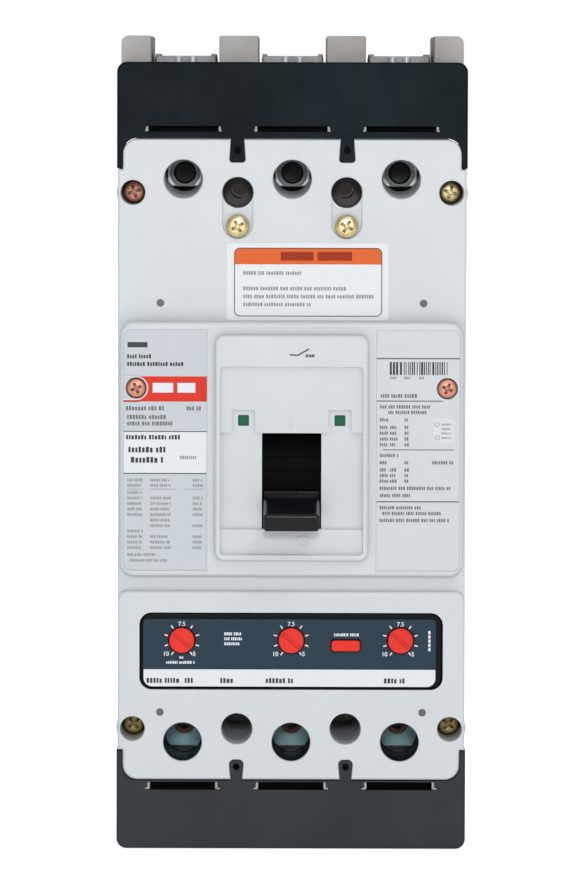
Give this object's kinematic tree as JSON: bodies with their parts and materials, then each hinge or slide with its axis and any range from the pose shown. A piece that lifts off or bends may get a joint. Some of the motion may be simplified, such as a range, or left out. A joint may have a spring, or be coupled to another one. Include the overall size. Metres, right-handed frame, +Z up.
{
  "type": "molded case circuit breaker",
  "caption": "Tall box-shaped moulded case circuit breaker with a toggle handle, adjustment dials, push-to-trip button and black terminal covers.",
  "frame": {"origin": "centre of the rear mounting face", "axes": "+X right, +Z up towards the line end, +Y into the panel; the front faces -Y"},
  "size_m": [0.1406, 0.1191, 0.3277],
  "materials": {
    "off_white_plastic": "satin moulded plastic",
    "light_grey_plastic": "matt moulded plastic",
    "black_plastic": "matt moulded plastic",
    "gloss_black_plastic": "glossy moulded plastic",
    "blue_grey_print": "printed plate",
    "red_plastic": "moulded plastic",
    "green_print": "coloured flag",
    "phenolic": "moulded phenolic",
    "plated_steel": "zinc plated",
    "spring_steel": "bright wire",
    "yellow_zinc_steel": "yellow zinc plated steel",
    "copper": "copper, tarnished",
    "aluminium": "milled"
  },
  "bodies": {
    "case": {"base": "light_grey_plastic", "line_end_insulator": "light_grey_plastic", "load_end_insulator": "light_grey_plastic", "front_cover": "off_white_plastic", "handle_escutcheon": "off_white_plastic", "line_terminal_cover": "black_plastic", "load_terminal_cover": "black_plastic", "trip_unit_housing": "black_plastic", "line_terminal_left": "aluminium", "load_terminal_left": "aluminium", "line_conductor_left": "copper", "load_conductor_left": "copper", "flexible_shunt_left": "copper", "arc_chute_left": "plated_steel", "bimetal_left": "spring_steel", "line_terminal_centre": "aluminium", "load_terminal_centre": "aluminium", "line_conductor_centre": "copper", "load_conductor_centre": "copper", "flexible_shunt_centre": "copper", "arc_chute_centre": "plated_steel", "bimetal_centre": "spring_steel", "line_terminal_right": "aluminium", "load_terminal_right": "aluminium", "line_conductor_right": "copper", "load_conductor_right": "copper", "flexible_shunt_right": "copper", "arc_chute_right": "plated_steel", "bimetal_right": "spring_steel", "mechanism_frame": "plated_steel", "cradle": "plated_steel", "trip_unit_faceplate": "blue_grey_print", "line_corner_screw_left": "yellow_zinc_steel", "load_corner_screw_left": "yellow_zinc_steel", "upper_cover_screw_left": "yellow_zinc_steel", "panel_screw_left": "yellow_zinc_steel", "line_corner_screw_right": "yellow_zinc_steel", "load_corner_screw_right": "yellow_zinc_steel", "upper_cover_screw_right": "yellow_zinc_steel", "panel_screw_right": "yellow_zinc_steel"},
    "handle_assembly": {"handle": "gloss_black_plastic", "handle_barrier": "gloss_black_plastic", "handle_yoke": "plated_steel", "mechanism_spring_left": "spring_steel", "mechanism_spring_right": "spring_steel"},
    "indicator": {"position_indicator": "green_print"},
    "contacts": {"crossbar": "phenolic", "contact_arm_left": "copper", "contact_arm_centre": "copper", "contact_arm_right": "copper"},
    "upper_link": {"upper_toggle_link": "plated_steel", "toggle_pin": "plated_steel"},
    "lower_link": {"lower_toggle_link": "plated_steel"},
    "trip_button": {"push_to_trip_button": "red_plastic", "button_spring": "spring_steel"},
    "trip_bar": {"trip_bar": "phenolic"},
    "dial_left": {"trip_dial_left": "red_plastic"},
    "dial_centre": {"trip_dial_centre": "red_plastic"},
    "dial_right": {"trip_dial_right": "red_plastic"}
  },
  "joints": [
    {"name": "handle_swing", "type": "hinge", "parent": "case", "child": "handle_assembly", "pos_m": [0, -0.05, -0.0077], "axis": [-1, 0, 0], "range_deg": [0, 24.8], "deforming": ["mechanism_spring_left", "mechanism_spring_right"]},
    {"name": "indicator_slide", "type": "slide", "parent": "case", "child": "indicator", "axis": [0, 0, 1], "range_m": [0, 0.0098]},
    {"name": "contact_swing", "type": "hinge", "parent": "case", "child": "contacts", "pos_m": [0, -0.03, -0.005], "axis": [-1, 0, 0], "range_deg": [0, 35.2]},
    {"name": "upper_link_swing", "type": "hinge", "parent": "case", "child": "upper_link", "pos_m": [0, -0.0727, -0.0009], "axis": [-1, 0, 0], "range_deg": [-35.2, 0]},
    {"name": "lower_link_swing", "type": "hinge", "parent": "contacts", "child": "lower_link", "pos_m": [0, -0.04061, 0.00561], "axis": [-1, 0, 0], "range_deg": [-10.6, 0]},
    {"name": "trip_button_push", "type": "slide", "parent": "case", "child": "trip_button", "axis": [0, 1, 0], "range_m": [0, 0.002], "stiffness_N_per_m": 250, "springref_m": -0.001, "deforming": ["button_spring"]},
    {"name": "trip_bar_turn", "type": "hinge", "parent": "case", "child": "trip_bar", "pos_m": [0, -0.066, -0.086], "axis": [-1, 0, 0], "range_deg": [0, 8.4]},
    {"name": "dial_left_turn", "type": "hinge", "parent": "case", "child": "dial_left", "pos_m": [-0.044, -0.0885, -0.0726], "axis": [0, -1, 0], "range_deg": [-15, 275]},
    {"name": "dial_centre_turn", "type": "hinge", "parent": "case", "child": "dial_centre", "pos_m": [0, -0.0885, -0.0726], "axis": [0, -1, 0], "range_deg": [-15, 275]},
    {"name": "dial_right_turn", "type": "hinge", "parent": "case", "child": "dial_right", "pos_m": [0.044, -0.0885, -0.0726], "axis": [0, -1, 0], "range_deg": [-15, 275]}
  ],
  "couplings": [
    {"joint": "indicator_slide", "follows": "handle_swing", "m_per_rad": 0.022179},
    {"joint": "contact_swing", "follows": "handle_swing", "ratio": 1.4113},
    {"joint": "upper_link_swing", "follows": "handle_swing", "ratio": -1.4113},
    {"joint": "lower_link_swing", "follows": "handle_swing", "ratio": -0.41935},
    {"joint": "trip_bar_turn", "follows": "trip_button_push", "rad_per_m": 71.558}
  ]
}
